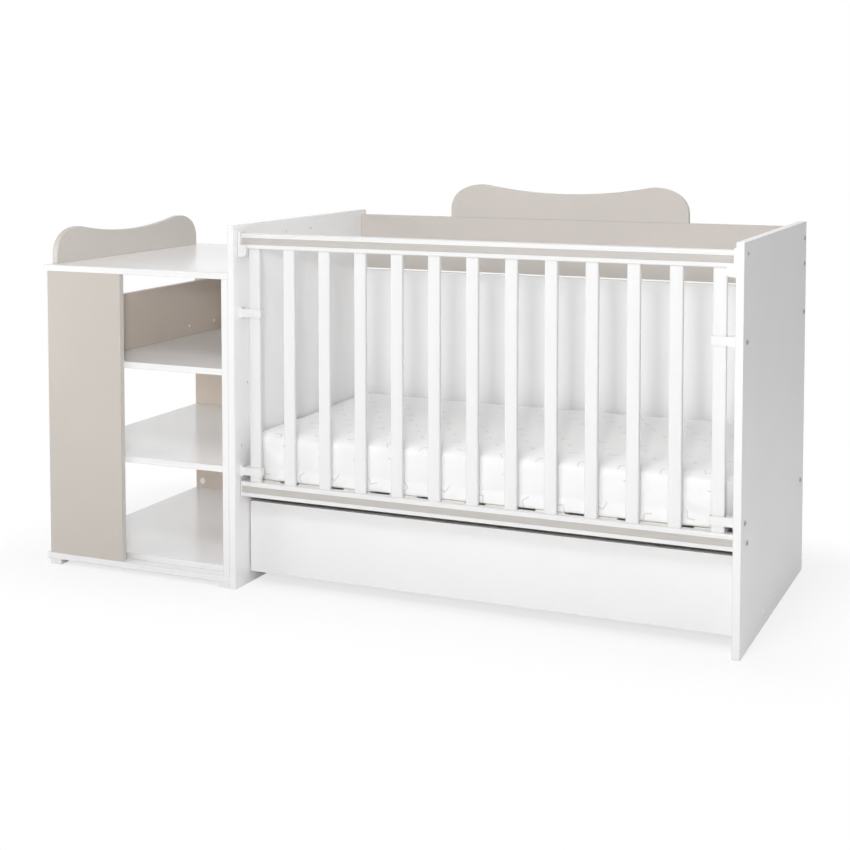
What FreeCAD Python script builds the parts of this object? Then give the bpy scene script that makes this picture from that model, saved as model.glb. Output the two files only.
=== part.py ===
import FreeCAD, Part
import math
import os

# Convertible crib: a cot with a drop side and a drawer under it, joined to an open shelf cabinet.
# Millimetres. X runs along the crib, Y from its front to its back, Z up.
# The origin lies on the floor under the middle of the whole piece.

# Carcass boards
bay_length = 1206.0            # between the two end panels
crib_depth = 725.0
panel_height = 884.0
panel_thickness = 18.0
board_thickness = 16.0
band_radius = 0.8              # softened edges of the edge-banded boards
cabinet_width = 541.0
cabinet_drop = 114.0           # top of the end panels to the cabinet top

# Back of the crib
back_inset = 16.0              # back edge of the end panels to the back boards
back_panel_bottom = 205.0
back_board_drop = 12.0         # top of the end panels to the back board
back_gap = 5.0                 # open joint between back panel and back board
back_board_height = 148.5

# Curved boards: the headboard and the gallery board share one outline
curve_margin = 33.5            # shorter than the crib's depth at each end
curve_hump_height = 90.0
curve_dip_height = 68.0
curve_corner_radius = 60.0
curve_hump_radius = 115.0
curve_corner_angle = 60.0      # degrees of the corner arc before the hump takes over

# Mattress base and mattress
base_bolt_height = 238.0
base_rail_height = 32.0
base_rail_thickness = 18.0
base_rail_gap = 1.5            # front base rail to the drop side
base_slat_count = 10
base_slat_width = 70.0
base_slat_thickness = 8.0
mattress_end_gap = 3.0         # mattress to the end panels
mattress_front_gap = 1.0       # mattress to the front of the base
mattress_back_gap = 2.5        # mattress to the back panel
mattress_height = 118.0
mattress_corner_radius = 32.0
mattress_bottom_roll = 8.0     # radius of the bottom edges
mattress_top_roll = 14.0       # radius of the top edges
mattress_draw_in = 5.0         # how far each side pulls in between its corners
mattress_crown = 7.0
mattress_crown_share = 0.25    # of the width, from each edge to the flat of the crown
mattress_roll = ((0.6, 0.0), (0.15, 0.45), (0.0, 1.0))   # inset and height as shares of the radius
rest_clearance = 0.3           # between loose or sliding pieces and what carries them

# Drop side
side_setback = 22.0            # front edge of the end panels to the front of the rails
side_travel = 122.0
rail_height = 37.0
rail_thickness = 25.0
rail_edge_radius = 4.0
rail_end_gap = 2.0
top_rail_drop = 56.0           # top of the end panels to the underside of the top rail
bottom_rail_bottom = 224.5
inlay_height = 16.0
inlay_thickness = 3.0
top_inlay_margin = 1.0         # end of the rail to the inlay
bottom_inlay_margin = 3.0
inlay_clearance = 0.1
slat_count = 13
end_slat_inset = 39.0          # end panel to the middle of the end slat
slat_width = 30.0
slat_thickness = 13.0
slat_edge_radius = 4.0
tenon_length = 12.0
tenon_clearance = 0.15

# Plastic guides on the end panels, looped round the end slats
guide_rise = 25.0              # lower guide above the bottom rail
guide_drop = 156.0             # upper guide below the top rail
guide_loop_height = 20.0
guide_flange_height = 28.5
guide_flange_thickness = 6.0
guide_wall = 2.2
guide_clearance = 1.0
guide_corner_radius = 3.0
guide_boss_radius = 6.0
guide_boss_height = 8.0

# Latches at the ends of the top rail
latch_gap = 1.0                # housing to end panel
latch_plate_thickness = 7.0
latch_plate_rise = 4.5         # plate above the rail
latch_plate_radius = 5.0
latch_housing_front = 5.0      # housing in front of the rails
latch_housing_drop = 19.0      # housing below the rail
latch_housing_back = 27.0      # front of the rails to the back of the housing
latch_housing_radius = 9.0
latch_lip_margin = 0.5         # lip on the rail's front to the inlay
latch_lip_radius = 2.5
latch_slat_gap = 0.7
latch_wall = 1.0               # housing behind the spring
latch_bolt_radius = 4.0
latch_bolt_clearance = 0.1
latch_bolt_depth = 8.5         # bolt axis below the rail
latch_bolt_back = 20.0         # bolt axis behind the front of the rails
latch_bolt_gap = 0.4           # bolt to the end panel
latch_travel = 5.0
latch_spring_room = 9.0
latch_tab_thickness = 5.0
latch_tab_width = 6.0
latch_tab_drop = 4.0           # finger tab below the housing
latch_slot_clearance = 0.5
spring_wire_radius = 0.5
spring_coil_radius = 2.9
spring_turns = 4

# Drawer
drawer_setback = 66.0          # front edge of the end panels to the drawer front
drawer_front_bottom = 29.0
drawer_front_top = 204.0
drawer_side_gap = 3.0
drawer_box_height = 130.0
drawer_back_gap = 33.0         # drawer box to the back of the crib
drawer_bottom_thickness = 3.0
drawer_bottom_rise = 12.0
drawer_groove_depth = 7.0
drawer_groove_clearance = 0.2
runner_bottom = 24.0
runner_height = 20.0
runner_width = 20.0
runner_front = 100.0           # front edge of the end panels to the runner
runner_back_gap = 13.0

# Furniture bolts and screws through the end panels, all with domed heads
bolt_radius = 3.0
bolt_length = 60.0
bolt_head_radius = 7.0
bolt_head_height = 3.0
bolt_key_radius = 2.3          # corners of the hexagonal socket
bolt_key_depth = 1.6
bolt_clearance = 0.2
bolt_bore_spare = 3.0
back_board_bolt_drops = (28.0, 91.0)
back_panel_bolt_drop = 58.0
screw_radius = 2.0
screw_grip = 8.0               # into the guide or runner
runner_screw_head_radius = 6.5
runner_screw_head_height = 1.2
runner_screw_places = (244.0, 383.0)
catch_screw_length = 12.0
catch_screw_head_radius = 4.8
catch_screw_head_height = 2.2
catch_screw_back = 36.0        # behind the panel's front edge
catch_screw_drop = 25.5        # below its top
recess_clearance = 0.3         # round the heads that the cabinet's side covers
spare_bore_radius = 3.0
spare_bore_depth = 12.0
low_spare_bores = ((30.8, 348.0), (60.5, 498.0))   # from the panel's front edge and foot
high_spare_bores = ((260.0, 31.0), (393.0, 31.0))  # from its front edge and top

# Cabinet
foot_size = 32.0
foot_height = 14.0
foot_inset = 9.0               # from the cabinet's outer end
foot_margin = 1.0              # from its other edges
narrow_panel_width = 220.0
narrow_panel_inset = 11.0      # left edge of top and base to the narrow panels
apron_drop = 71.0              # apron below the cabinet top
lower_shelf_setback = 29.0     # front of the cabinet to the lower shelf
shelf_shares = (0.3453, 0.674) # undersides of the other shelves, of the height between base and top
gallery_inset = 3.0
cap_radius = 9.0
cap_thickness = 2.0
cap_rim_radius = 0.8
cap_edge_margin = 23.0
cap_height = 66.0
apron_cap_radius = 4.0
apron_cap_rise = 27.0
apron_cap_backs = (217.4, 85.5)  # from the back panel
bracket_height = 45.0
bracket_reach = 7.0
bracket_width = 12.0
bracket_front = 20.0           # front of the cabinet to the front bracket
bracket_bolt_gap = 6.0         # back bracket to the bolt head beside it

# Places that follow from the sizes above
X_AXIS = FreeCAD.Vector(1, 0, 0)
Y_AXIS = FreeCAD.Vector(0, 1, 0)
Z_AXIS = FreeCAD.Vector(0, 0, 1)
cabinet_height = panel_height - cabinet_drop
top_rail_bottom = panel_height - top_rail_drop
overall_length = cabinet_width + 2 * panel_thickness + bay_length + bolt_head_height
left_end = -overall_length / 2
front = -crib_depth / 2
back = crib_depth / 2
crib_left = left_end + cabinet_width
bay_left = crib_left + panel_thickness
bay_right = bay_left + bay_length
right_face = bay_right + panel_thickness
bay_centre = (bay_left + bay_right) / 2
back_y = (back - back_inset - board_thickness, back - back_inset)
back_middle = sum(back_y) / 2
back_board_z = (panel_height - back_board_drop - back_board_height, panel_height - back_board_drop)
back_panel_top = back_board_z[0] - back_gap
curve_width = crib_depth - 2 * curve_margin
side_front = front + side_setback
side_y = (side_front, side_front + rail_thickness)
side_middle = sum(side_y) / 2
slat_y = (side_middle - slat_thickness / 2, side_middle + slat_thickness / 2)
first_slat = bay_left + end_slat_inset
last_slat = bay_right - end_slat_inset
slat_pitch = (last_slat - first_slat) / (slat_count - 1)
slat_middles = [first_slat + slat_pitch * index for index in range(slat_count)]
base_rail_z = (base_bolt_height - base_rail_height / 2, base_bolt_height + base_rail_height / 2)
front_base_rail_y = (side_y[1] + base_rail_gap, side_y[1] + base_rail_gap + base_rail_thickness)
back_base_rail_y = (back_y[0] - base_rail_thickness, back_y[0])
base_top = base_rail_z[1] + base_slat_thickness
mattress_length = bay_length - 2 * mattress_end_gap
mattress_y = (front_base_rail_y[0] + mattress_front_gap, back_y[0] - mattress_back_gap)
mattress_width = mattress_y[1] - mattress_y[0]
guide_heights = (bottom_rail_bottom + rail_height + guide_rise, top_rail_bottom - guide_drop)
runner_top = runner_bottom + runner_height

os.makedirs("parts", exist_ok=True)


def box(x, y, z):
    """A plain block between pairs of limits."""
    corner = FreeCAD.Vector(x[0], y[0], z[0])
    return Part.makeBox(x[1] - x[0], y[1] - y[0], z[1] - z[0], corner)


def board(x, y, z):
    """A furniture board with softened edges all round."""
    block = box(x, y, z)
    return block.makeFillet(band_radius, block.Edges)


def edges_along(block, axis):
    """The edges of a block that run along one axis."""
    return [edge for edge in block.Edges if round(abs(edge.tangentAt(0).dot(axis))) == 1]


def bar(x, y, z, radius, axis):
    """A bar whose long edges, along one axis, are rounded."""
    block = box(x, y, z)
    return block.makeFillet(radius, edges_along(block, axis))


def rod(start, direction, radius, length):
    """A round bar that starts at a point and runs along a direction."""
    return Part.makeCylinder(radius, length, start, direction)


def mirrored(shape):
    """The same piece at the other end of the crib."""
    return shape.mirror(FreeCAD.Vector(bay_centre, 0, 0), X_AXIS)


def outline(edges):
    """A flat face bounded by a closed run of edges."""
    return Part.Face(Part.Wire([edge.toShape() for edge in edges]))


def line(start, end):
    """A straight edge of an outline."""
    return Part.LineSegment(start, end)


def save(name, *solids):
    """Write one piece, or a group of like pieces, under its own name."""
    shape = solids[0] if len(solids) == 1 else Part.makeCompound(list(solids))
    shape.exportStep("parts/" + name + ".step")


def domed_head(face, radius, height):
    """A low domed head that stands on the right end panel's outer face."""
    ball = (radius ** 2 + height ** 2) / (2 * height)
    centre = face + X_AXIS * (height - ball)
    half_turn = math.asin(radius / ball) / 2
    middle = centre + (X_AXIS * math.cos(half_turn) + Z_AXIS * math.sin(half_turn)) * ball
    top = face + X_AXIS * height
    rim = face + Z_AXIS * radius
    return outline([Part.Arc(top, middle, rim), line(rim, face), line(face, top)]).revolve(face, X_AXIS, 360)


def fastener(place, radius, length, head_radius, head_height):
    """A bolt or screw driven into the right end panel from outside, at a (y, z) place."""
    face = FreeCAD.Vector(right_face, *place)
    shank = rod(face, -X_AXIS, radius, length)
    return domed_head(face, head_radius, head_height).fuse(shank)


def keyed(place, piece):
    """A bolt with the hexagonal socket for its key."""
    top = FreeCAD.Vector(right_face + bolt_head_height, *place)
    turns = [math.radians(60 * corner) for corner in range(7)]
    corners = [top + (Y_AXIS * math.cos(turn) + Z_AXIS * math.sin(turn)) * bolt_key_radius for turn in turns]
    return piece.cut(Part.Face(Part.makePolygon(corners)).extrude(-X_AXIS * bolt_key_depth))


def bore(place, radius, length):
    """The hole for a bolt or screw, a little longer than its shank."""
    return rod(FreeCAD.Vector(right_face, *place), -X_AXIS, radius + bolt_clearance, length + bolt_bore_spare)


def bored_at_both_ends(shape, places):
    """A cross board with the bores that take the bolts of both end panels."""
    for place in places:
        hole = bore(place, bolt_radius, bolt_length)
        shape = shape.cut(hole).cut(mirrored(hole))
    return shape


# Fastener places on an end panel, as (y, z)
back_board_bolts = [(back_middle, back_board_z[1] - drop) for drop in back_board_bolt_drops]
back_panel_bolts = [(back_middle, back_panel_top - back_panel_bolt_drop)]
front_base_bolts = [(sum(front_base_rail_y) / 2, base_bolt_height)]
back_base_bolts = [(sum(back_base_rail_y) / 2, base_bolt_height)]
bolts = back_board_bolts + back_panel_bolts + front_base_bolts + back_base_bolts
guide_screws = [(side_middle, height) for height in guide_heights]
runner_screws = [(front + place, runner_bottom + runner_height / 2) for place in runner_screw_places]
catch_screws = [(front + catch_screw_back, panel_height - catch_screw_drop)]
screw_length = panel_thickness + screw_grip

# Each group of fasteners: node, places, shank radius and length, head radius and height
fastener_groups = (
    ("panel_bolts", bolts, bolt_radius, bolt_length, bolt_head_radius, bolt_head_height),
    ("guide_screws", guide_screws, screw_radius, screw_length, bolt_head_radius, bolt_head_height),
    ("runner_screws", runner_screws, screw_radius, screw_length, runner_screw_head_radius,
     runner_screw_head_height),
    ("catch_screws", catch_screws, screw_radius, catch_screw_length, catch_screw_head_radius,
     catch_screw_head_height))
keyed_groups = ("panel_bolts", "guide_screws")

# Latch geometry at the right end of the top rail
latch_face = bay_right - latch_gap
latch_plate_inner = latch_face - latch_plate_thickness
latch_inner = last_slat + slat_width / 2 + latch_slat_gap
latch_bottom = top_rail_bottom - latch_housing_drop
latch_y = (side_front - latch_housing_front, side_front + latch_housing_back)
latch_lip_top = top_rail_bottom + (rail_height - inlay_height) / 2 - latch_lip_margin
latch_axis_y = side_front + latch_bolt_back
latch_axis_z = top_rail_bottom - latch_bolt_depth
latch_bolt_tip = bay_right - latch_bolt_gap
latch_bolt_end = latch_inner + latch_wall + latch_spring_room


def end_panel():
    """The right end panel: bores for its bolts and screws, and the spare bores inside."""
    panel = board((bay_right, right_face), (front, back), (0.0, panel_height))
    for node, places, radius, length, head_radius, head_height in fastener_groups:
        for place in places:
            panel = panel.cut(bore(place, radius, length))
    high_places = [(y, panel_height - drop) for y, drop in high_spare_bores]
    for y, z in [*low_spare_bores, *high_places]:
        start = FreeCAD.Vector(bay_right, front + y, z)
        panel = panel.cut(rod(start, X_AXIS, spare_bore_radius, spare_bore_depth))
    return panel


right_panel = end_panel()
save("end_panel_right", right_panel)
save("end_panel_left", mirrored(right_panel))
for node, places, *sizes in fastener_groups:
    pieces = [fastener(place, *sizes) for place in places]
    if node in keyed_groups:
        pieces = [keyed(place, piece) for place, piece in zip(places, pieces)]
    save(node, *pieces, *[mirrored(piece) for piece in pieces])

# Back of the crib
bay_x = (bay_left, bay_right)
back_panel = board(bay_x, back_y, (back_panel_bottom, back_panel_top))
save("back_panel", bored_at_both_ends(back_panel, back_panel_bolts))
back_board = board(bay_x, back_y, back_board_z)
save("back_board", bored_at_both_ends(back_board, back_board_bolts))


def curved_board():
    """The board with two humps and a dip, lying in XZ, its foot on the X axis and its middle at X = 0."""
    angle = math.radians(curve_corner_angle)
    half = curve_width / 2
    shoulder = (curve_hump_height - curve_hump_radius * (1 - math.sin(angle))
                - curve_corner_radius * math.sin(angle))
    corner = (half - curve_corner_radius, shoulder)
    reach = curve_hump_radius - curve_corner_radius
    hump = (corner[0] - reach * math.cos(angle), corner[1] - reach * math.sin(angle))
    drop = curve_dip_height - hump[1]
    dip_radius = (hump[0] ** 2 + drop ** 2 - curve_hump_radius ** 2) / (2 * (curve_hump_radius - drop))
    dip = (0.0, curve_dip_height + dip_radius)
    meeting = math.atan2(dip[1] - hump[1], dip[0] - hump[0])

    def on(centre, radius, turn, side):
        x = side * (centre[0] + radius * math.cos(turn))
        return FreeCAD.Vector(x, 0, centre[1] + radius * math.sin(turn))

    def arc_points(side):
        shoulder_point = on(corner, curve_corner_radius, 0.0, side)
        corner_middle = on(corner, curve_corner_radius, angle / 2, side)
        corner_end = on(corner, curve_corner_radius, angle, side)
        hump_middle = on(hump, curve_hump_radius, (angle + meeting) / 2, side)
        hump_end = on(hump, curve_hump_radius, meeting, side)
        return shoulder_point, corner_middle, corner_end, hump_middle, hump_end

    right = arc_points(1)
    left = arc_points(-1)
    lowest = FreeCAD.Vector(0, 0, curve_dip_height)
    foot_right = FreeCAD.Vector(half, 0, 0)
    foot_left = FreeCAD.Vector(-half, 0, 0)
    edges = [line(foot_right, right[0]), Part.Arc(right[0], right[1], right[2]),
             Part.Arc(right[2], right[3], right[4]), Part.Arc(right[4], lowest, left[4]),
             Part.Arc(left[4], left[3], left[2]), Part.Arc(left[2], left[1], left[0]),
             line(left[0], foot_left), line(foot_left, foot_right)]
    solid = outline(edges).extrude(Y_AXIS * board_thickness)
    return solid.makeFillet(band_radius, solid.Edges)


headboard = curved_board()
headboard.translate(FreeCAD.Vector(bay_centre, back_y[0], back_board_z[1]))
save("headboard", headboard)

# Mattress base: two rails and the slats that lie on them
front_base_rail = board(bay_x, front_base_rail_y, base_rail_z)
save("base_rail_front", bored_at_both_ends(front_base_rail, front_base_bolts))
back_base_rail = board(bay_x, back_base_rail_y, base_rail_z)
save("base_rail_back", bored_at_both_ends(back_base_rail, back_base_bolts))
base_slat_pitch = bay_length / base_slat_count
base_slats = []
for index in range(base_slat_count):
    middle = bay_left + base_slat_pitch * (index + 0.5)
    base_slats.append(board((middle - base_slat_width / 2, middle + base_slat_width / 2),
                            (front_base_rail_y[0], back_y[0]), (base_rail_z[1], base_top)))
save("base_slats", *base_slats)


def mattress_section(inset, height):
    """One level of the mattress: rounded corners, sides pulled in between them."""
    half_x = mattress_length / 2 - inset
    half_y = mattress_width / 2 - inset
    radius = mattress_corner_radius
    slant = radius * math.sqrt(0.5)
    edges = []
    corners = ((1, 1), (-1, 1), (-1, -1), (1, -1))

    def at(x, y):
        return FreeCAD.Vector(x, y, height)

    for index, (sign_x, sign_y) in enumerate(corners):
        centre_x = sign_x * (half_x - radius)
        centre_y = sign_y * (half_y - radius)
        on_x_side = at(sign_x * half_x, centre_y)
        on_y_side = at(centre_x, sign_y * half_y)
        middle = at(centre_x + sign_x * slant, centre_y + sign_y * slant)
        if index % 2 == 0:
            edges.append(Part.Arc(on_x_side, middle, on_y_side))
            pulled_in = at(0.0, sign_y * (half_y - mattress_draw_in))
            edges.append(Part.Arc(on_y_side, pulled_in, at(-centre_x, sign_y * half_y)))
        else:
            edges.append(Part.Arc(on_y_side, middle, on_x_side))
            pulled_in = at(sign_x * (half_x - mattress_draw_in), 0.0)
            edges.append(Part.Arc(on_x_side, pulled_in, at(sign_x * half_x, -centre_y)))
    return Part.Wire([edge.toShape() for edge in edges])


# Mattress: rolled edges, drawn-in sides and a crowned top, in levels from the bottom up
mattress_low = base_top + rest_clearance
side_top = mattress_height - mattress_crown
bottom_levels = [(mattress_bottom_roll * inset, mattress_bottom_roll * height)
                 for inset, height in mattress_roll]
top_levels = [(mattress_top_roll * inset, side_top - mattress_top_roll * height)
              for inset, height in reversed(mattress_roll)]
mattress_levels = bottom_levels + top_levels + [(mattress_width * mattress_crown_share, mattress_height)]
sections = [mattress_section(inset, mattress_low + height) for inset, height in mattress_levels]
mattress = Part.makeLoft(sections, True, True)
mattress.translate(FreeCAD.Vector(bay_centre, sum(mattress_y) / 2, 0))
save("mattress", mattress)


def slat(middle, low, high, grow):
    """One slat of the drop side or, grown a little, the pocket that takes its end."""
    half = slat_width / 2 + grow
    return bar((middle - half, middle + half), (slat_y[0] - grow, slat_y[1] + grow), (low, high),
               slat_edge_radius + grow, Z_AXIS)


def rail(x, bottom, pocket_z, inlay_margin):
    """A rail of the drop side with its pockets for the slats and its groove for the inlay."""
    body = bar(x, side_y, (bottom, bottom + rail_height), rail_edge_radius, X_AXIS)
    for middle in slat_middles:
        body = body.cut(slat(middle, pocket_z[0], pocket_z[1], tenon_clearance))
    inlay_low = bottom + (rail_height - inlay_height) / 2
    groove = box((x[0] + inlay_margin, x[1] - inlay_margin),
                 (side_y[0], side_y[0] + inlay_thickness), (inlay_low, inlay_low + inlay_height))
    inlay = board((x[0] + inlay_margin + inlay_clearance, x[1] - inlay_margin - inlay_clearance),
                  (side_y[0], side_y[0] + inlay_thickness),
                  (inlay_low + inlay_clearance, inlay_low + inlay_height - inlay_clearance))
    return body.cut(groove), inlay


# Drop side: two rails with inlays, and the slats tenoned into them
bottom_rail_top = bottom_rail_bottom + rail_height
slat_low = bottom_rail_top - tenon_length
slat_high = top_rail_bottom + tenon_length
pocket_spare = 2 * tenon_clearance
top_rail_x = (bay_left + latch_gap + latch_plate_thickness, latch_plate_inner)
bottom_rail_x = (bay_left + rail_end_gap, bay_right - rail_end_gap)
top_rail, top_inlay = rail(top_rail_x, top_rail_bottom,
                           (top_rail_bottom - rail_height, slat_high + pocket_spare), top_inlay_margin)
bottom_rail, bottom_inlay = rail(bottom_rail_x, bottom_rail_bottom,
                                 (slat_low - pocket_spare, bottom_rail_top + rail_height),
                                 bottom_inlay_margin)
save("top_rail", top_rail)
save("top_rail_inlay", top_inlay)
save("bottom_rail", bottom_rail)
save("bottom_rail_inlay", bottom_inlay)
for number, middle in enumerate(slat_middles, 1):
    save("slat_%02d" % number, slat(middle, slat_low, slat_high, 0.0))


def guide(height):
    """A plastic guide: a flange on the right end panel and a loop round the last slat."""
    inner = last_slat - slat_width / 2 - guide_clearance - guide_wall
    loop_y = (slat_y[0] - guide_clearance - guide_wall, slat_y[1] + guide_clearance + guide_wall)
    loop_z = (height - guide_loop_height / 2, height + guide_loop_height / 2)
    loop = bar((inner, bay_right), loop_y, loop_z, guide_corner_radius, Z_AXIS)
    hollow_x = (inner + guide_wall, bay_right - guide_flange_thickness)
    hollow_y = (loop_y[0] + guide_wall, loop_y[1] - guide_wall)
    loop = loop.cut(box(hollow_x, hollow_y, loop_z))
    flange_z = (height - guide_flange_height / 2, height + guide_flange_height / 2)
    flange_x = (bay_right - guide_flange_thickness, bay_right)
    flange = bar(flange_x, loop_y, flange_z, guide_corner_radius, X_AXIS)
    boss_length = guide_flange_thickness + guide_boss_height
    boss = rod(FreeCAD.Vector(bay_right, side_middle, height), -X_AXIS, guide_boss_radius, boss_length)
    body = loop.fuse([flange, boss]).removeSplitter()
    return body.cut(bore((side_middle, height), screw_radius, screw_length))


for name, height in zip(("lower", "upper"), guide_heights):
    loop_guide = guide(height)
    save("guide_right_" + name, loop_guide)
    save("guide_left_" + name, mirrored(loop_guide))


def latch_housing():
    """The plastic end of the top rail: a plate on its end and a rounded block with a lip up its front."""
    plate_top = top_rail_bottom + rail_height + latch_plate_rise
    plate = bar((latch_plate_inner, latch_face), latch_y, (latch_bottom, plate_top),
                latch_plate_radius, X_AXIS)
    block = box((latch_inner, latch_face), latch_y, (latch_bottom, latch_lip_top))
    inner_edges = [edge for edge in edges_along(block, Y_AXIS) if edge.Vertexes[0].X < latch_plate_inner]
    low_edge, high_edge = sorted(inner_edges, key=lambda edge: edge.Vertexes[0].Z)
    block = block.makeFillet(latch_housing_radius, [low_edge]).makeFillet(latch_lip_radius, [high_edge])
    rail_space = box((latch_inner, latch_plate_inner), (side_front, latch_y[1]),
                     (top_rail_bottom, latch_lip_top))
    body = block.cut(rail_space).fuse(plate).removeSplitter()
    tunnel = rod(FreeCAD.Vector(latch_face, latch_axis_y, latch_axis_z), -X_AXIS,
                 latch_bolt_radius + latch_bolt_clearance, latch_face - latch_bolt_end + latch_spring_room)
    slot_half = latch_tab_width / 2 + latch_slot_clearance
    slot = box((latch_bolt_end - latch_travel - latch_slot_clearance,
                latch_bolt_end + latch_tab_thickness + latch_slot_clearance),
               (latch_axis_y - slot_half, latch_axis_y + slot_half), (latch_bottom, latch_axis_z))
    return body.cut(tunnel).cut(slot)


def latch_bolt():
    """The sprung bolt beside the end panel, with the tab a finger pulls it back by."""
    pin = rod(FreeCAD.Vector(latch_bolt_tip, latch_axis_y, latch_axis_z), -X_AXIS, latch_bolt_radius,
              latch_bolt_tip - latch_bolt_end)
    tab = box((latch_bolt_end, latch_bolt_end + latch_tab_thickness),
              (latch_axis_y - latch_tab_width / 2, latch_axis_y + latch_tab_width / 2),
              (latch_bottom - latch_tab_drop, latch_axis_z))
    return pin.fuse(tab).removeSplitter()


def latch_spring():
    """The coil spring behind the bolt, a quarter turn at a time."""
    quarters = 4 * spring_turns
    start = latch_bolt_end - latch_spring_room + spring_wire_radius
    pitch = (latch_spring_room - 2 * spring_wire_radius) / spring_turns

    def at(turn):
        angle = 2 * math.pi * turn
        return FreeCAD.Vector(start + pitch * turn, latch_axis_y + spring_coil_radius * math.cos(angle),
                              latch_axis_z + spring_coil_radius * math.sin(angle))

    arcs = [Part.Arc(at(index / 4), at((index + 0.5) / 4), at((index + 1) / 4)) for index in range(quarters)]
    path = Part.Wire([arc.toShape() for arc in arcs])
    first = path.Edges[0]
    section = Part.Circle(first.valueAt(first.FirstParameter), first.tangentAt(first.FirstParameter),
                          spring_wire_radius)
    print("spring gap between turns %.2f mm" % (pitch - 2 * spring_wire_radius))
    return path.makePipeShell([Part.Wire([section.toShape()])], True, False)


for name, piece in (("housing", latch_housing()), ("bolt", latch_bolt()), ("spring", latch_spring())):
    save("latch_%s_right" % name, piece)
    save("latch_%s_left" % name, mirrored(piece))

# Drawer runners: wooden ledges on the end panels
runner_y = (front + runner_front, back_y[0] - runner_back_gap)
runner_x = (bay_right - runner_width, bay_right)
runner = bar(runner_x, runner_y, (runner_bottom, runner_top), band_radius, Y_AXIS)
for place in runner_screws:
    runner = runner.cut(bore(place, screw_radius, screw_length))
save("drawer_runner_right", runner)
save("drawer_runner_left", mirrored(runner))

# Drawer: a box that slides on the runners, with a front that covers them
drawer_x = (bay_left + drawer_side_gap, bay_right - drawer_side_gap)
drawer_front_y = (front + drawer_setback, front + drawer_setback + board_thickness)
drawer_box_y = (drawer_front_y[1], back_y[0] - drawer_back_gap)
drawer_box_z = (runner_top + rest_clearance, runner_top + rest_clearance + drawer_box_height)
drawer_back_y = (drawer_box_y[1] - board_thickness, drawer_box_y[1])
drawer_inner_x = (drawer_x[0] + board_thickness, drawer_x[1] - board_thickness)
drawer_floor = drawer_box_z[0] + drawer_bottom_rise
bottom_slot = box((drawer_inner_x[0] - drawer_groove_depth, drawer_inner_x[1] + drawer_groove_depth),
                  (drawer_front_y[1] - drawer_groove_depth, drawer_back_y[0] + drawer_groove_depth),
                  (drawer_floor - drawer_groove_clearance,
                   drawer_floor + drawer_bottom_thickness + drawer_groove_clearance))
drawer_front = board(drawer_x, drawer_front_y, (drawer_front_bottom, drawer_front_top))
drawer_side = board((drawer_inner_x[1], drawer_x[1]), drawer_box_y, drawer_box_z).cut(bottom_slot)
drawer_back = board(drawer_inner_x, drawer_back_y, drawer_box_z)
drawer_bottom = box((drawer_inner_x[0] - drawer_groove_depth + drawer_groove_clearance,
                     drawer_inner_x[1] + drawer_groove_depth - drawer_groove_clearance),
                    (drawer_front_y[1] - drawer_groove_depth + drawer_groove_clearance,
                     drawer_back_y[0] + drawer_groove_depth - drawer_groove_clearance),
                    (drawer_floor, drawer_floor + drawer_bottom_thickness))
save("drawer_front", drawer_front.cut(bottom_slot))
save("drawer_side_right", drawer_side)
save("drawer_side_left", mirrored(drawer_side))
save("drawer_back", drawer_back.cut(bottom_slot))
save("drawer_bottom", drawer_bottom)

# Cabinet boards
cabinet_x = (left_end, crib_left)
base_z = (foot_height, foot_height + board_thickness)
top_z = (cabinet_height - board_thickness, cabinet_height)
wall_z = (base_z[1], top_z[0])
side_x = (crib_left - panel_thickness, crib_left)
narrow_x = (left_end + narrow_panel_inset, left_end + narrow_panel_inset + narrow_panel_width)
front_panel_y = (front, front + board_thickness)
shelf_y = (front_panel_y[1], back_y[0])
cabinet_base = board(cabinet_x, (front, back), base_z)
cabinet_side = board(side_x, (front, back), wall_z)
for node, places, radius, length, head_radius, head_height in fastener_groups:
    for place in places:
        face = FreeCAD.Vector(right_face, *place)
        recess = mirrored(rod(face, X_AXIS, head_radius + recess_clearance, head_height + recess_clearance))
        cabinet_base = cabinet_base.cut(recess)
        cabinet_side = cabinet_side.cut(recess)
save("cabinet_base", cabinet_base)
save("cabinet_top", board(cabinet_x, (front, back), top_z))
save("cabinet_side", cabinet_side)
save("cabinet_front_panel", board(narrow_x, front_panel_y, wall_z))
save("cabinet_back_panel", board(narrow_x, back_y, wall_z))
wall_height = wall_z[1] - wall_z[0]
shelf_x = (narrow_x[0], side_x[0])
lower_shelf_y = (front + lower_shelf_setback, back_y[0])
save("shelf_lower", board(shelf_x, lower_shelf_y, (wall_z[0], wall_z[0] + board_thickness)))
shelf_heights = [wall_z[0] + wall_height * share for share in shelf_shares]
for name, low in zip(("middle", "upper"), shelf_heights):
    save("shelf_" + name, board(shelf_x, shelf_y, (low, low + board_thickness)))

# Apron between the narrow panels, standing on the upper shelf
apron_middle = sum(narrow_x) / 2
apron_x = (apron_middle - board_thickness / 2, apron_middle + board_thickness / 2)
apron_low = shelf_heights[1] + board_thickness
save("cabinet_apron", board(apron_x, shelf_y, (apron_low, wall_z[1] - apron_drop)))

# Gallery board on the cabinet top, along its outer edge
gallery = curved_board()
gallery.rotate(FreeCAD.Vector(0, 0, 0), Z_AXIS, -90)
gallery.translate(FreeCAD.Vector(left_end + gallery_inset, 0, cabinet_height))
save("gallery_board", gallery)

# Feet under the corners of the cabinet base
foot_x = (left_end + foot_inset, crib_left - foot_size - foot_margin)
foot_y = (front + foot_margin, back - foot_size - foot_margin)
feet = [board((x, x + foot_size), (y, y + foot_size), (0.0, foot_height)) for x in foot_x for y in foot_y]
save("cabinet_feet", *feet)


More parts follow.
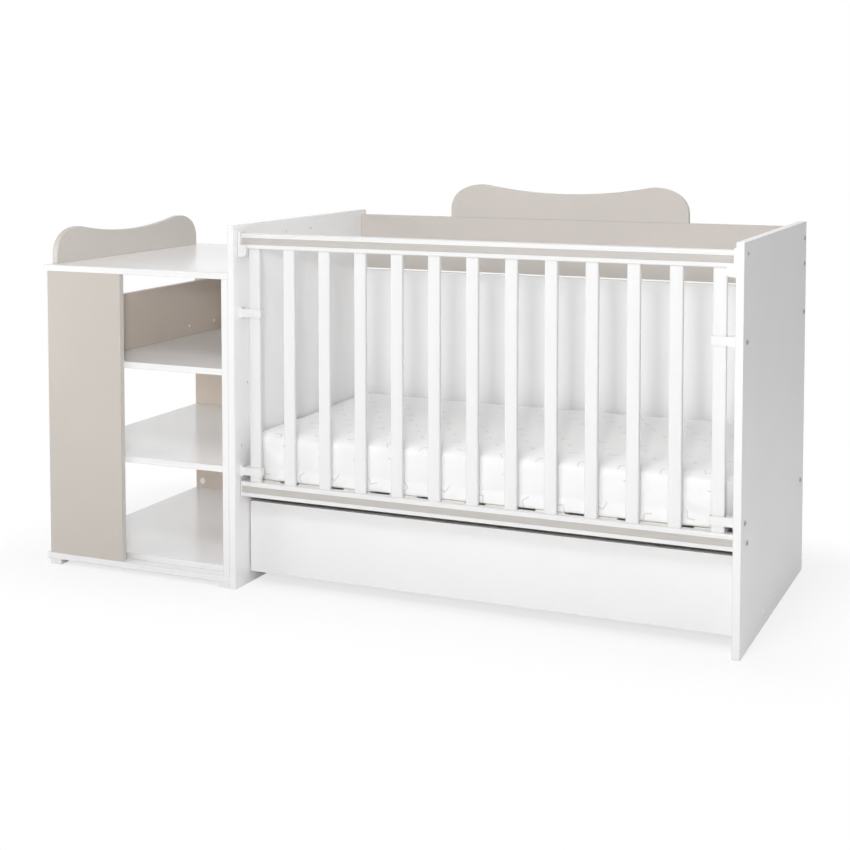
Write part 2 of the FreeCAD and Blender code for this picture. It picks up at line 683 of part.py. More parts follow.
def cap(start, direction, radius):
    """A low round cover cap with a rounded rim."""
    disc = rod(start, direction, radius, cap_thickness)
    rim = [edge for edge in disc.Edges if edge.BoundBox.Center.distanceToPoint(start) > cap_thickness / 2
           and len(edge.Vertexes) == 1]
    return disc.makeFillet(cap_rim_radius, rim)


cap_middles = (narrow_x[0] + cap_edge_margin, narrow_x[1] - cap_edge_margin)
caps = [cap(FreeCAD.Vector(x, back_y[0], cap_height), -Y_AXIS, cap_radius) for x in cap_middles]
apron_cap_z = apron_low + apron_cap_rise
caps += [cap(FreeCAD.Vector(apron_x[1], shelf_y[1] - gap, apron_cap_z), X_AXIS, apron_cap_radius)
         for gap in apron_cap_backs]
save("cabinet_caps", *caps)


def bracket(y):
    """A bracket in the corner between the cabinet top and the crib's end panel, its outside bowed."""
    corner = FreeCAD.Vector(crib_left, y, cabinet_height)
    high = corner + Z_AXIS * bracket_height
    far = corner - X_AXIS * bracket_reach
    bowed = corner + (Z_AXIS * bracket_height - X_AXIS * bracket_reach) * math.sqrt(0.5)
    face = outline([line(corner, high), Part.Arc(high, bowed, far), line(far, corner)])
    return face.extrude(Y_AXIS * bracket_width)


back_bracket_y = back_middle - bolt_head_radius - bracket_bolt_gap - bracket_width
save("corner_brackets", bracket(front + bracket_front), bracket(back_bracket_y))
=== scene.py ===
import math

import bpy
import numpy as np
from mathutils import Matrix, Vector


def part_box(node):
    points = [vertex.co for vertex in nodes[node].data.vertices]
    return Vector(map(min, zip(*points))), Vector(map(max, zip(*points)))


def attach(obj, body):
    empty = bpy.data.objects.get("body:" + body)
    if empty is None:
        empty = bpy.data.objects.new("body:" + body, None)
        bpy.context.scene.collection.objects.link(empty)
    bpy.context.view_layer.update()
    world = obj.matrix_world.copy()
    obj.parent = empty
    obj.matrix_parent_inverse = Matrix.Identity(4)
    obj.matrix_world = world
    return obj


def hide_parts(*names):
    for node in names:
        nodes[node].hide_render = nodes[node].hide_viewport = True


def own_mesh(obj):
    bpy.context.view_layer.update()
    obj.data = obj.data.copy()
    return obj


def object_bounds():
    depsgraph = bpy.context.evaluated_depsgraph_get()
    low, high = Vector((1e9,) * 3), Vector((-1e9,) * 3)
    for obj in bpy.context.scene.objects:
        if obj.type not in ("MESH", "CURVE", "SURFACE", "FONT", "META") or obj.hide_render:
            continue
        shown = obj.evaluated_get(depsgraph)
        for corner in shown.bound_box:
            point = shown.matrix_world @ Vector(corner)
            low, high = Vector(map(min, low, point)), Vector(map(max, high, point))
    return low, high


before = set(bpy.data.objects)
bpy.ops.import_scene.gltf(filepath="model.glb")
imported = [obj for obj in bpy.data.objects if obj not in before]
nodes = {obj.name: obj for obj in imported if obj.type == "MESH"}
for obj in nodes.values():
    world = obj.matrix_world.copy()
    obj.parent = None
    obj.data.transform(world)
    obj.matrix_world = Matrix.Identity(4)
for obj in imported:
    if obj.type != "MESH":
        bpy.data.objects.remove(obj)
cad_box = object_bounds()


# End panels: two upright boards of white melamine-faced chipboard that stand on the floor.
# They are sawn to size, drilled for bolts and screws, and a thin band is glued round their edges.
white = (0.915, 0.91, 0.91, 1.0)
white_band = (0.80, 0.794, 0.796, 1.0)
along_x = (1.0, 0.0, 0.0)
along_y = (0.0, 1.0, 0.0)
along_z = (0.0, 0.0, 1.0)
band_turn = (0.55, 0.95)
# Painted shade along the arrises of each edge band: how far in it reaches and how dark it is.
arris_shade_span = (0.43, 0.49)
arris_shade_depth = 0.35
peel_scale = 620.0
peel_strength = 0.10
peel_depth = 0.0003
cloud_scale = 4.0
cloud_shade = (0.982, 1.006)
melamine_roughness = (0.20, 0.26)
face_gloss = 0.04


def put(tree, socket, value):
    """Link a socket to another, or set its constant."""
    if isinstance(value, bpy.types.NodeSocket):
        tree.links.new(value, socket)
    else:
        socket.default_value = value


def node(tree, kind, sockets=(), **settings):
    """A new node with its settings, and its sockets by name or number."""
    made = tree.nodes.new(kind)
    for name, value in settings.items():
        setattr(made, name, value)
    for name, value in dict(sockets).items():
        put(tree, made.inputs[name], value)
    return made


def calc(tree, operation, *values):
    """The result of a sum on single values."""
    return node(tree, "ShaderNodeMath", enumerate(values), operation=operation).outputs[0]


def vector(tree, operation, *values):
    """The result of a sum on vectors."""
    made = node(tree, "ShaderNodeVectorMath", enumerate(values), operation=operation)
    return made.outputs["Value" if operation in ("DOT_PRODUCT", "LENGTH") else "Vector"]


def spread(tree, value, low, high, to_low, to_high):
    """A value carried smoothly from one range to another."""
    sockets = {"Value": value, "From Min": low, "From Max": high, "To Min": to_low, "To Max": to_high}
    made = node(tree, "ShaderNodeMapRange", sockets, interpolation_type="SMOOTHSTEP")
    return made.outputs["Result"]


def varied(tree, level, low, high):
    """A value that follows a noise, from low where the noise is weak to high where it is strong."""
    weak = 0.3
    strong = 0.7
    return spread(tree, level, weak, strong, low, high)


def mixed(tree, share, first, second):
    """Two colours mixed by a share."""
    made = node(tree, "ShaderNodeMix", {0: share, 6: first, 7: second}, data_type="RGBA")
    return made.outputs[2]


def shaded(tree, colour, level):
    """A colour made lighter or darker by a level."""
    made = node(tree, "ShaderNodeVectorMath", {0: colour, "Scale": level}, operation="SCALE")
    return made.outputs["Vector"]


def on_piece(tree, kind="Object"):
    """Where a point lies: in metres, or for Generated as shares of the piece's box."""
    return node(tree, "ShaderNodeTexCoord").outputs[kind]


def turned_to(tree, direction):
    """How far the surface is turned to a direction or its opposite, from 0 to 1."""
    normal = node(tree, "ShaderNodeNewGeometry").outputs["Normal"]
    return calc(tree, "ABSOLUTE", vector(tree, "DOT_PRODUCT", normal, direction))


def noise(tree, place, scale, detail=2.0):
    """The level of a noise at a place, about half on the average."""
    sockets = {"Vector": place, "Scale": scale, "Detail": detail}
    return node(tree, "ShaderNodeTexNoise", sockets).outputs["Fac"]


def bump(tree, height, strength, distance):
    """The normal of a surface raised by a height."""
    sockets = {"Height": height, "Strength": strength, "Distance": distance}
    return node(tree, "ShaderNodeBump", sockets).outputs["Normal"]


def effect(name, **inputs):
    """An empty effect that materials share: its tree, and the sockets of what goes in and comes out."""
    tree = bpy.data.node_groups.new(name, "ShaderNodeTree")
    for label, kind in inputs.items():
        tree.interface.new_socket(name=label, in_out="INPUT", socket_type="NodeSocket" + kind)
    for label, kind in (("Colour", "Color"), ("Roughness", "Float"), ("Normal", "Vector")):
        tree.interface.new_socket(name=label, in_out="OUTPUT", socket_type="NodeSocket" + kind)
    return tree, tree.nodes.new("NodeGroupInput").outputs, tree.nodes.new("NodeGroupOutput").inputs


melamine, given, out = effect("melamine", Face="Color", Band="Color", Across="Vector")
place = on_piece(melamine)
on_face = spread(melamine, turned_to(melamine, given["Across"]), *band_turn, 0.0, 1.0)
on_band = calc(melamine, "SUBTRACT", 1.0, on_face)
from_middle = vector(melamine, "SUBTRACT", on_piece(melamine, "Generated"), (0.5, 0.5, 0.5))
to_arris = calc(melamine, "ABSOLUTE", vector(melamine, "DOT_PRODUCT", from_middle, given["Across"]))
# Painted shade: each edge band is darkened towards its two arrises, standing in for the shade of a rounded
# arris and of the joint beside it.
painted_arris_shade = calc(melamine, "MULTIPLY", spread(melamine, to_arris, *arris_shade_span, 0.0, arris_shade_depth), on_band)
cloud = varied(melamine, noise(melamine, place, cloud_scale, detail=3.0), *cloud_shade)
level = calc(melamine, "MULTIPLY", cloud, calc(melamine, "SUBTRACT", 1.0, painted_arris_shade))
colour = mixed(melamine, on_face, given["Band"], given["Face"])
peel = noise(melamine, place, peel_scale)
satin = varied(melamine, peel, *melamine_roughness)
gloss = calc(melamine, "MULTIPLY", on_face, face_gloss)
put(melamine, out["Colour"], shaded(melamine, colour, level))
put(melamine, out["Roughness"], calc(melamine, "SUBTRACT", satin, gloss))
put(melamine, out["Normal"], bump(melamine, peel, peel_strength, peel_depth))


def finish(name, group, constants=(), **inputs):
    """A material whose colour, roughness and normal come from a shared effect, with its other constants."""
    material = bpy.data.materials.new(name)
    material.use_nodes = True
    tree = material.node_tree
    shader = tree.nodes["Principled BSDF"]
    made = node(tree, "ShaderNodeGroup", node_tree=group)
    for label, value in inputs.items():
        put(tree, made.inputs[label], value)
    for label, value in dict(constants).items():
        put(tree, shader.inputs[label], value)
    put(tree, shader.inputs["Base Color"], made.outputs["Colour"])
    put(tree, shader.inputs["Roughness"], made.outputs["Roughness"])
    put(tree, shader.inputs["Normal"], made.outputs["Normal"])
    return material


def dress(material, slot, *names):
    """Give pieces a material. The slot argument is not used."""
    for name in names:
        nodes[name].data.materials.clear()
        nodes[name].data.materials.append(material)


white_across_x = finish("white_board_across_x", melamine, Face=white, Band=white_band, Across=along_x)
dress(white_across_x, "white_board", "end_panel_left", "end_panel_right")


# Back of the crib: a white board below, a taupe one above with an open joint between them, and on top
# of that a taupe headboard routed to two humps and a dip. The boards are bolted between the end panels,
# and the headboard is dowelled to the upper one.
# The back panel's white is a lighter copy of the panels' white: painted light on the board that stands in
# shade behind the slats.
white_back_painted_light = (0.93, 0.926, 0.926, 1.0)
taupe = (0.62, 0.577, 0.54, 1.0)
taupe_band = (0.66, 0.615, 0.575, 1.0)
matte = {"Specular IOR Level": 0.2}
white_back_board = finish("white_back_board", melamine, Face=white_back_painted_light, Band=white_band, Across=along_y)
taupe_across_y = finish("taupe_board_across_y", melamine, matte, Face=taupe, Band=taupe_band, Across=along_y)
dress(white_back_board, "white_board", "back_panel")
dress(taupe_across_y, "taupe_board", "back_board", "headboard")


# Furniture bolts and screws: zinc-plated steel with domed heads that stand on the outside of the end
# panels. The bolts have a hexagonal socket, and the heads of the runners' screws are painted white.
zinc_colour = (0.42, 0.42, 0.44, 1.0)
white_paint = (0.86, 0.855, 0.855, 1.0)
crystal_scale = 900.0
crystal_size = 0.8
crystal_strength = 0.08
crystal_depth = 0.0002
stain_scale = 240.0
stain_shade = (0.86, 1.04)
zinc_roughness = (0.28, 0.42)
zinc, given, out = effect("zinc", Colour="Color")
place = on_piece(zinc)
crystals = node(zinc, "ShaderNodeTexVoronoi", {"Vector": place, "Scale": crystal_scale}).outputs["Distance"]
stain = varied(zinc, noise(zinc, place, stain_scale, detail=4.0), *stain_shade)
put(zinc, out["Colour"], shaded(zinc, given["Colour"], stain))
put(zinc, out["Roughness"], spread(zinc, crystals, 0.0, crystal_size, *zinc_roughness))
put(zinc, out["Normal"], bump(zinc, crystals, crystal_strength, crystal_depth))
zinc_steel = finish("zinc_steel", zinc, {"Metallic": 1.0}, Colour=zinc_colour)
white_steel = finish("white_steel", zinc, Colour=white_paint)
dress(zinc_steel, "zinc_steel", "panel_bolts", "guide_screws", "catch_screws")
dress(white_steel, "white_steel", "runner_screws")


# Mattress base and drawer runners: planed softwood, left bare. Two rails are bolted between the end
# panels, loose slats lie across them, and the runners are ledges screwed to the panels.
early_wood = (0.88, 0.84, 0.77, 1.0)
late_wood = (0.83, 0.77, 0.68, 1.0)
wood_along_grain = 0.6
wood_across_grain = 9.0
ring_scale = 9.0
ring_sharpness = 2.0
wander_scale = 2.0
wander_share = 0.5
fibre_scale = 160.0
fibre_shade = (0.6, 1.0)
wood_roughness = (0.55, 0.68)
fibre_strength = 0.25
fibre_depth = 0.0004
wood, given, out = effect("planed_softwood", Early="Color", Late="Color", Stretch="Vector")
place = vector(wood, "MULTIPLY", on_piece(wood), given["Stretch"])
wander = node(wood, "ShaderNodeTexNoise", {"Vector": place, "Scale": wander_scale}).outputs["Color"]
bent = vector(wood, "ADD", place, shaded(wood, wander, wander_share))
ring_sockets = {"Vector": bent, "Scale": ring_scale, "Distortion": 3.0, "Detail": 2.0}
rings = node(wood, "ShaderNodeTexWave", ring_sockets).outputs["Fac"]
fibre = noise(wood, place, fibre_scale, detail=3.0)
late = calc(wood, "MULTIPLY", calc(wood, "POWER", rings, ring_sharpness), varied(wood, fibre, *fibre_shade))
put(wood, out["Colour"], mixed(wood, late, given["Early"], given["Late"]))
put(wood, out["Roughness"], varied(wood, fibre, *wood_roughness))
put(wood, out["Normal"], bump(wood, fibre, fibre_strength, fibre_depth))
grain_x = (wood_along_grain, wood_across_grain, wood_across_grain)
grain_y = (wood_across_grain, wood_along_grain, wood_across_grain)
wood_along_x = finish("softwood_along_x", wood, Early=early_wood, Late=late_wood, Stretch=grain_x)
wood_along_y = finish("softwood_along_y", wood, Early=early_wood, Late=late_wood, Stretch=grain_y)
dress(wood_along_x, "bare_wood", "base_rail_front", "base_rail_back")
dress(wood_along_y, "bare_wood", "base_slats", "drawer_runner_left", "drawer_runner_right")


# Mattress: a foam block in a white knitted cover with a faint print, closed by seams round its edges.
# The foam swells the cover. The lower seam stands a little proud of it, and in front it hangs over the
# ends of the slats.
scene = bpy.context.scene
cover_white = (0.86, 0.86, 0.86, 1.0)
print_grey = (0.50, 0.50, 0.50, 1.0)
swell = 0.002
most_swell = 0.006
skin_size = 0.006
foam_pressure = 4.0
settling_steps = 20
seam_height = 0.009
seam_press = 0.005
seam_square = 0.006
seam_reach = 0.03
seam_proud = np.array((0.0, 0.0022, 0.0))
seam_drop = np.array((0.0, 0.0, 0.0016))
end_press = 0.8
longest_press = 0.012
press_reach = 0.02
corner_start = 0.03
corner_length = 0.05
lip_width = 0.001
lip_height = 0.004


def replaced_mesh(piece):
    """Make what a piece's modifiers show its own mesh, and drop the modifiers."""
    shown = piece.evaluated_get(bpy.context.evaluated_depsgraph_get())
    mesh = bpy.data.meshes.new_from_object(shown)
    piece.modifiers.clear()
    piece.data = mesh


def points(piece):
    """The corners of a piece's mesh as an array."""
    flat = np.zeros(len(piece.data.vertices) * 3, np.float32)
    piece.data.vertices.foreach_get("co", flat)
    return flat.reshape(-1, 3).astype(float)


def place_points(piece, places):
    """Move the corners of a piece's mesh."""
    piece.data.vertices.foreach_set("co", places.astype(np.float32).ravel())
    piece.data.update()


def fading(distance, reach):
    """A share that falls from 1 at no distance to 0 at the reach."""
    return np.clip(1 - distance / reach, 0.0, 1.0)


low, high = (np.array(corner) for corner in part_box("mattress"))
middle = (low + high) / 2
half = (high - low) / 2
mattress = bpy.data.objects.new("mattress_cover", nodes["mattress"].data.copy())
scene.collection.objects.link(mattress)
shrunk = middle + (points(mattress) - middle) * (1 - swell / half) - (0.0, 0.0, swell)
pressed_out = seam_press * fading(shrunk[:, 2:] - low[2], seam_height) ** 2
shrunk[:, :2] += (shrunk[:, :2] - middle[:2]) * pressed_out / half[:2]
place_points(mattress, shrunk)
mattress.modifiers.new("skin", "REMESH").voxel_size = skin_size
replaced_mesh(mattress)
start = points(mattress)
cloth = mattress.modifiers.new("foam", "CLOTH")
cloth.settings.use_pressure = True
cloth.settings.uniform_pressure_force = foam_pressure
cloth.settings.effector_weights.gravity = 0.0
cloth.point_cache.frame_start = 1
cloth.point_cache.frame_end = settling_steps
for step in range(1, settling_steps + 1):
    scene.frame_set(step)
replaced_mesh(mattress)
scene.frame_set(1)
moved = points(mattress) - start
far = np.linalg.norm(moved, axis=1, keepdims=True)
places = start + moved * np.minimum(1.0, most_swell / np.maximum(far, 1e-9))
place_points(mattress, np.clip(places, low, high))
smooth = mattress.modifiers.new("stretch", "SMOOTH")
smooth.factor = 0.5
smooth.iterations = 3
finer = mattress.modifiers.new("finer", "SUBSURF")
finer.levels = 1
finer.render_levels = 1
replaced_mesh(mattress)
places = points(mattress)
above_seam = places[:, 2] - low[2]
places[:, 2] -= above_seam * fading(above_seam, seam_square)
for side, along, pressed in ((0, 1, end_press), (1, 0, fading(above_seam, seam_reach))):
    offset = places[:, side] - middle[side]
    to_corner = half[along] - np.abs(places[:, along] - middle[along])
    share = pressed * np.clip((to_corner - corner_start) / corner_length, 0.0, 1.0)
    gap = half[side] + seam_proud[side] - np.abs(offset)
    places[:, side] += np.sign(offset) * np.minimum(gap, longest_press) * share * (gap < press_reach)
over_slat_ends = np.clip((low[1] - places[:, 1]) / lip_width, 0.0, 1.0)
places -= np.outer(over_slat_ends * fading(places[:, 2] - low[2], lip_height), seam_drop)
place_points(mattress, np.clip(places, low - seam_proud - seam_drop, high + seam_proud))
mattress.data.shade_smooth()

column_width = 0.095
row_height = 0.062
row_shift = 0.37
chevron_slope = 0.8
chevron_arm = (0.012, 0.014)
stroke_width = (0.0012, 0.0028)
ink_share = 0.5
loops_across = 2800.0
loops_up = 2400.0
loop_share = 0.15
slack_scale = 26.0
slack_strength = 0.35
slack_depth = 0.002
knit_roughness = (0.78, 0.9)
mostly = 0.7
knit, given, out = effect("printed_knit", Colour="Color", Ink="Color")
place = on_piece(knit)
x, y, z = node(knit, "ShaderNodeSeparateXYZ", {0: place}).outputs
on_top = calc(knit, "GREATER_THAN", turned_to(knit, along_z), mostly)
on_end = calc(knit, "GREATER_THAN", turned_to(knit, along_x), mostly)
across = node(knit, "ShaderNodeMix", {0: on_end, 2: x, 3: y}).outputs[0]
rise = node(knit, "ShaderNodeMix", {0: on_top, 2: z, 3: y}).outputs[0]
row = calc(knit, "DIVIDE", rise, row_height)
row_number = calc(knit, "FLOOR", row)
shift = calc(knit, "MULTIPLY", row_number, row_shift)
column = calc(knit, "ADD", calc(knit, "DIVIDE", across, column_width), shift)
column_number = calc(knit, "FLOOR", column)
cell = node(knit, "ShaderNodeCombineXYZ", {0: column_number, 1: row_number, 2: on_top}).outputs[0]
chance = node(knit, "ShaderNodeTexWhiteNoise", {"Vector": cell}, noise_dimensions="3D").outputs["Value"]
u = calc(knit, "MULTIPLY", calc(knit, "SUBTRACT", calc(knit, "FRACT", column), 0.5), column_width)
v = calc(knit, "MULTIPLY", calc(knit, "SUBTRACT", calc(knit, "FRACT", row), 0.5), row_height)
flat = node(knit, "ShaderNodeCombineXYZ", {0: u, 1: v}).outputs[0]
turn = {"Vector": flat, "Angle": calc(knit, "MULTIPLY", chance, 2 * math.pi)}
turned = node(knit, "ShaderNodeVectorRotate", turn, rotation_type="Z_AXIS").outputs[0]
motif = node(knit, "ShaderNodeSeparateXYZ", {0: turned}).outputs
arm = calc(knit, "ABSOLUTE", motif["X"])
chevron = calc(knit, "SUBTRACT", motif["Y"], calc(knit, "MULTIPLY", arm, chevron_slope))
line = spread(knit, calc(knit, "ABSOLUTE", chevron), *stroke_width, 1.0, 0.0)
stroke = calc(knit, "MULTIPLY", line, spread(knit, arm, *chevron_arm, 1.0, 0.0))
wales = calc(knit, "SINE", calc(knit, "MULTIPLY", across, loops_across))
courses = calc(knit, "SINE", calc(knit, "MULTIPLY", rise, loops_up))
loops = calc(knit, "MULTIPLY", wales, courses)
slack = noise(knit, place, slack_scale, detail=3.0)
relief = calc(knit, "ADD", calc(knit, "MULTIPLY", loops, loop_share), slack)
inked = calc(knit, "MULTIPLY", stroke, ink_share)
put(knit, out["Colour"], mixed(knit, inked, given["Colour"], given["Ink"]))
put(knit, out["Roughness"], spread(knit, loops, -1.0, 1.0, *knit_roughness))
put(knit, out["Normal"], bump(knit, relief, slack_strength, slack_depth))
mattress_cover = finish("mattress_cover", knit, {"Sheen Weight": 0.15}, Colour=cover_white, Ink=print_grey)
dress(mattress_cover, "mattress_cover", "mattress")
mattress.data.materials.clear()
mattress.data.materials.append(mattress_cover)
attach(mattress, "mattress")
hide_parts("mattress")


# Drop side: slats of lacquered wood, rounded on their long edges and tenoned into two rails.
# The lacquer is sprayed on thin, so that a little of the grain shows through it.
lacquer_white = (0.75, 0.747, 0.747, 1.0)
grain_scale = 60.0
grain_length = 0.05
grain_strength = 0.02
grain_depth = 0.0004
grain_shade = (0.988, 1.0)
lacquer_roughness = (0.28, 0.31)
lacquer, given, out = effect("lacquered_wood", Colour="Color", Stretch="Vector")
place = vector(lacquer, "MULTIPLY", on_piece(lacquer), given["Stretch"])
grain = noise(lacquer, place, grain_scale, detail=3.0)
put(lacquer, out["Colour"], shaded(lacquer, given["Colour"], varied(lacquer, grain, *grain_shade)))
put(lacquer, out["Roughness"], varied(lacquer, grain, *lacquer_roughness))
put(lacquer, out["Normal"], bump(lacquer, grain, grain_strength, grain_depth))
rail_grain = (grain_length, 1.0, 1.0)
slat_grain = (1.0, 1.0, grain_length)
lacquer_along_x = finish("white_lacquer_along_x", lacquer, Colour=lacquer_white, Stretch=rail_grain)
lacquer_along_z = finish("white_lacquer_along_z", lacquer, Colour=lacquer_white, Stretch=slat_grain)
dress(lacquer_along_x, "white_lacquer", "top_rail", "bottom_rail")
dress(lacquer_along_z, "white_lacquer", *[name for name in nodes if name.startswith("slat_")])


# Inlays: taupe foil strips with the fine print of a wood grain.
# Each is glued into a groove in the front of a rail and lies flush with it.
inlay_taupe = (0.49, 0.465, 0.44, 1.0)
inlay_dark = (0.43, 0.40, 0.375, 1.0)
streak_length = 0.06
streak_scale = 340.0
streak_strength = 0.08
streak_depth = 0.0003
print_range = (0.35, 0.7)
print_share = 0.5
foil_roughness = (0.38, 0.5)
foil, given, out = effect("wood_print_foil", Colour="Color", Dark="Color")
place = vector(foil, "MULTIPLY", on_piece(foil), (streak_length, 1.0, 1.0))
streak = noise(foil, place, streak_scale, detail=4.0)
printed = spread(foil, streak, *print_range, 0.0, print_share)
put(foil, out["Colour"], mixed(foil, printed, given["Colour"], given["Dark"]))
put(foil, out["Roughness"], varied(foil, streak, *foil_roughness))
put(foil, out["Normal"], bump(foil, streak, streak_strength, streak_depth))
taupe_inlay = finish("taupe_inlay", foil, Colour=inlay_taupe, Dark=inlay_dark)
dress(taupe_inlay, "taupe_inlay", "top_rail_inlay", "bottom_rail_inlay")


# Guides and latches: white moulded plastic. The guides are screwed to the end panels and loop round the
# end slats, the latch housings are pushed onto the ends of the top rail, and a sprung bolt with a finger
# tab runs in each.
plastic_white = (0.765, 0.762, 0.758, 1.0)
spark_scale = 1500.0
spark_strength = 0.15
spark_depth = 0.0002
flow_scale = 30.0
flow_shade = (0.97, 1.0)
plastic_roughness = (0.34, 0.46)
plastic, given, out = effect("moulded_plastic", Colour="Color")
place = on_piece(plastic)
spark = noise(plastic, place, spark_scale)
flow = varied(plastic, noise(plastic, place, flow_scale, detail=3.0), *flow_shade)
put(plastic, out["Colour"], shaded(plastic, given["Colour"], flow))
put(plastic, out["Roughness"], varied(plastic, spark, *plastic_roughness))
put(plastic, out["Normal"], bump(plastic, spark, spark_strength, spark_depth))
white_plastic = finish("white_plastic", plastic, Colour=plastic_white)
for hand in ("left", "right"):
    dress(white_plastic, "white_plastic", f"guide_{hand}_lower", f"guide_{hand}_upper")
    dress(white_plastic, "white_plastic", f"latch_housing_{hand}", f"latch_bolt_{hand}")


# Latch springs: coils of zinc-plated wire. Each stands between the end of its housing and the bolt, and in
# the real latch it is pressed together when a finger draws the bolt in; here the coil keeps its shape and
# moves with the drop side.
for hand in ("left", "right"):
    spring_node = f"latch_spring_{hand}"
    dress(zinc_steel, "zinc_steel", spring_node)
    spring = bpy.data.objects.new(spring_node + "_coil", nodes[spring_node].data.copy())
    scene.collection.objects.link(spring)
    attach(spring, "drop_side")
    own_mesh(spring)
    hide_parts(spring_node)


# Drawer: a box of white boards with a full-width front, and a thin white-faced hardboard bottom in a
# groove. It has no handle and is pulled by the upper edge of its front.
white_across_z = finish("white_board_across_z", melamine, Face=white, Band=white_band, Across=along_z)
# The drawer's front and back take the darker band white over their faces too: a darker copy of the white
# board, painted shade on the drawer front that faces the lamps.
white_shaded_across_y = finish("white_board_across_y", melamine, Face=white_band, Band=white_band, Across=along_y)
dress(white_shaded_across_y, "white_board", "drawer_front", "drawer_back")
dress(white_across_x, "white_board", "drawer_side_left", "drawer_side_right")
dress(white_across_z, "white_board", "drawer_bottom")


# Cabinet: white top, base, side and shelves, and taupe narrow panels, apron and gallery board.
# All are edge-banded chipboard, put together with dowels and hidden fittings.
# Painted light and shade: the cabinet's taupe boards take copies of one taupe. The front panel has a darker
# copy, painted shade, and the back panel and apron, deep in the cabinet's shade, have a lighter and warmer
# copy, painted light.
taupe_painted_darker = (0.535, 0.497, 0.458, 1.0)
taupe_painted_lighter = (0.69, 0.60, 0.52, 1.0)
taupe_front = finish("taupe_front_board", melamine, matte, Face=taupe_painted_darker, Band=taupe_band, Across=along_y)
taupe_back = finish("taupe_back_board", melamine, matte, Face=taupe_painted_lighter, Band=taupe_band, Across=along_y)
taupe_apron = finish("taupe_apron_board", melamine, matte, Face=taupe_painted_lighter, Band=taupe_band, Across=along_x)
taupe_across_x = finish("taupe_board_across_x", melamine, matte, Face=taupe, Band=taupe_band, Across=along_x)
dress(white_across_z, "white_board", "cabinet_top", "cabinet_base")
dress(white_across_z, "white_board", "shelf_lower", "shelf_middle", "shelf_upper")
dress(white_across_x, "white_board", "cabinet_side")
dress(taupe_front, "taupe_board", "cabinet_front_panel")
dress(taupe_back, "taupe_board", "cabinet_back_panel")
dress(taupe_apron, "taupe_board", "cabinet_apron")
dress(taupe_across_x, "taupe_board", "gallery_board")


# Small fittings of the cabinet: white cover caps over its fittings, white plastic feet under its base,
# and grey plastic corner brackets that tie its top to the crib's end panel.
# The caps take a lighter copy of the white plastic: painted light on caps that sit in the cabinet's shade.
cap_white_painted_light = (0.94, 0.93, 0.91, 1.0)
bracket_grey = (0.42, 0.42, 0.43, 1.0)
plastic_painted_lighter = finish("bright_white_plastic", plastic, Colour=cap_white_painted_light)
grey_plastic = finish("grey_plastic", plastic, Colour=bracket_grey)
dress(plastic_painted_lighter, "white_plastic", "cabinet_caps")
dress(white_plastic, "white_plastic", "cabinet_feet")
dress(grey_plastic, "grey_plastic", "corner_brackets")


# Floor: a plain pale sheet that runs out of sight. It shows as white away from the crib,
# and keeps the soft shadow round the crib's foot.
floor_pale = (0.97, 0.97, 0.97, 1.0)
floor_half = 40.0
floor_level = -0.0005
shadow_reach = 0.35
shadow_white = 0.70
corners = [(x * floor_half, y * floor_half, floor_level) for x, y in ((-1, -1), (1, -1), (1, 1), (-1, 1))]
floor_mesh = bpy.data.meshes.new("floor")
floor_mesh.from_pydata(corners, [], [(0, 1, 2, 3)])
floor = bpy.data.objects.new("floor", floor_mesh)
scene.collection.objects.link(floor)
floor_paint = bpy.data.materials.new("floor_paint")
floor_paint.use_nodes = True
tree = floor_paint.node_tree
floor_shader = tree.nodes["Principled BSDF"]
floor_shader.inputs["Base Color"].default_value = floor_pale
floor_shader.inputs["Roughness"].default_value = 0.9
floor_shader.inputs["Specular IOR Level"].default_value = 0.0
glow = node(tree, "ShaderNodeEmission", {"Strength": 1.0}).outputs[0]
seen = node(tree, "ShaderNodeLightPath").outputs["Is Camera Ray"]
footprint = [(high - low) / 2 for low, high in zip(*cad_box)]
beyond = vector(tree, "SUBTRACT", vector(tree, "ABSOLUTE", on_piece(tree)), footprint)
outside = vector(tree, "MULTIPLY", vector(tree, "MAXIMUM", beyond, (0.0, 0.0, 0.0)), (1.0, 1.0, 0.0))
whiteness = spread(tree, vector(tree, "LENGTH", outside), 0.0, shadow_reach, shadow_white, 1.0)
share = calc(tree, "MULTIPLY", seen, whiteness)
pale = node(tree, "ShaderNodeMixShader", {0: share, 1: floor_shader.outputs[0], 2: glow}).outputs[0]
put(tree, tree.nodes["Material Output"].inputs["Surface"], pale)
floor_mesh.materials.append(floor_paint)


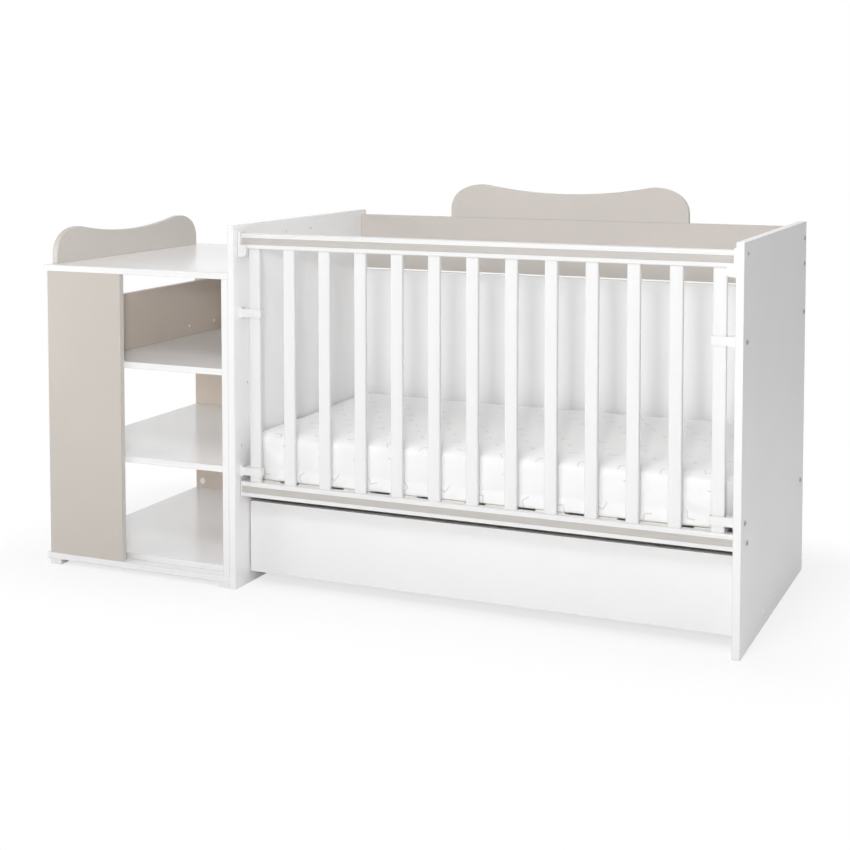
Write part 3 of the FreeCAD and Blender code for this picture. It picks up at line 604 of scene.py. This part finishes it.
# Studio light: a white tent that shines from behind and from above, a small key light beside the camera,
# and soft boxes high in front, overhead, on the left and low in front.
# The camera and mirror-like reflections see the tent as plain white.
tent_light = {"Y": 1.2, "Z": 0.41}
scene.view_settings.view_transform = "Standard"
world = bpy.data.worlds.new("light_tent")
world.use_nodes = True
scene.world = world
tree = world.node_tree
background = tree.nodes["Background"].inputs
background["Color"].default_value = (1.0, 1.0, 1.0, 1.0)
outwards = node(tree, "ShaderNodeTexCoord").outputs["Generated"]
direction = node(tree, "ShaderNodeSeparateXYZ", {0: outwards}).outputs
level = 0.0
for axis, strength in tent_light.items():
    towards = calc(tree, "MAXIMUM", direction[axis], 0.0)
    level = calc(tree, "ADD", level, calc(tree, "MULTIPLY", towards, strength))
rays = node(tree, "ShaderNodeLightPath").outputs
plain = calc(tree, "MAXIMUM", rays["Is Camera Ray"], rays["Is Glossy Ray"])
put(tree, background["Strength"], node(tree, "ShaderNodeMix", {0: plain, 2: level, 3: 1.0}).outputs[0])


def lamp(name, power, place, aim, size):
    """A soft box of a width and height at a place, turned to shine at a point."""
    data = bpy.data.lights.new(name, "AREA")
    data.energy = power
    data.shape = "RECTANGLE"
    data.size, data.size_y = size
    light = bpy.data.objects.new(name, data)
    light.location = place
    light.rotation_euler = (Vector(aim) - Vector(place)).to_track_quat("-Z", "Y").to_euler()
    light.visible_camera = False
    scene.collection.objects.link(light)


lamp("key", power=36.0, place=(1.225, -3.35, 1.36), aim=(0.2, 0.0, 0.5), size=(0.2, 0.3))
lamp("high_box", power=28.5, place=(0.4, -2.4, 2.7), aim=(0.1, 0.0, 0.5), size=(0.9, 0.9))
lamp("overhead_box", power=5.0, place=(0.5, -0.3, 2.6), aim=(0.2, 0.0, 0.4), size=(0.7, 0.7))
lamp("left_box", power=22.5, place=(-2.6, -1.6, 0.8), aim=(-0.5, 0.0, 0.4), size=(1.4, 1.4))
lamp("front_box", power=2.5, place=(0.75, -2.2, 0.7), aim=(-0.3, 0.3, 0.6), size=(0.8, 1.2))


# Camera: to the right of the crib and a little above it, turned slightly down,
# with the lens shift that keeps the uprights nearly parallel.
azimuth = math.radians(23.7614)
elevation = math.radians(3.3533)
camera_data = bpy.data.cameras.new("camera")
camera_data.sensor_width = 36.0
camera_data.lens = 65.29
camera_data.shift_y = -0.2557
camera = bpy.data.objects.new("camera", camera_data)
camera.location = (1.566486, -3.543052, 1.143132)
level_ahead = Vector((-math.sin(azimuth), math.cos(azimuth), 0.0))
ahead = level_ahead * math.cos(elevation) - Vector(along_z) * math.sin(elevation)
camera.rotation_euler = ahead.to_track_quat("-Z", "Y").to_euler()
scene.collection.objects.link(camera)
scene.camera = camera
